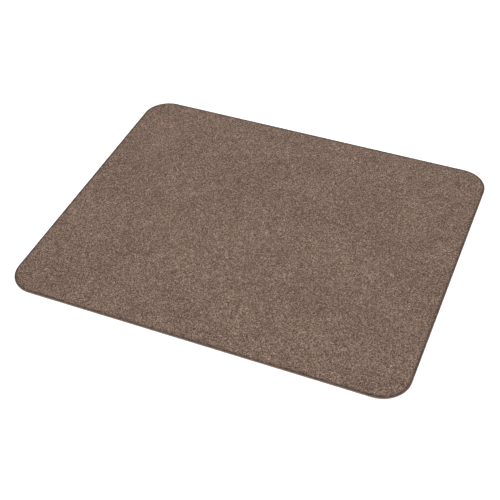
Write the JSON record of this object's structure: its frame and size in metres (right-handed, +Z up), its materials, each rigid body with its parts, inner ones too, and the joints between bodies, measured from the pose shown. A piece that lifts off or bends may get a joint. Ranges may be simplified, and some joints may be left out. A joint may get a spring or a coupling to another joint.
{
  "type": "chair mat",
  "caption": "Flat rounded rectangular floor mat with a low brown needle-punched pile, a sealed edge and a gripping rubber underside, for a castor chair to roll on.",
  "frame": {"origin": "on the floor under the middle of the mat", "axes": "+Z up from the floor, +X along the long side, +Y across the mat; the picture is taken from the -Y side"},
  "size_m": [1.2, 1, 0.0052],
  "materials": {
    "brown_pile": "matte",
    "polyester_scrim": "matte",
    "grey_felt": "matte",
    "bond_film": "satin",
    "grip_rubber": "matte",
    "edge_sealant": "matte"
  },
  "bodies": {
    "root": {"grip_backing": "grip_rubber", "lower_bond_film": "bond_film", "felt_core": "grey_felt", "upper_bond_film": "bond_film", "backing_scrim": "polyester_scrim", "pile_face": "brown_pile", "edge_seal": "edge_sealant"}
  },
  "joints": []
}
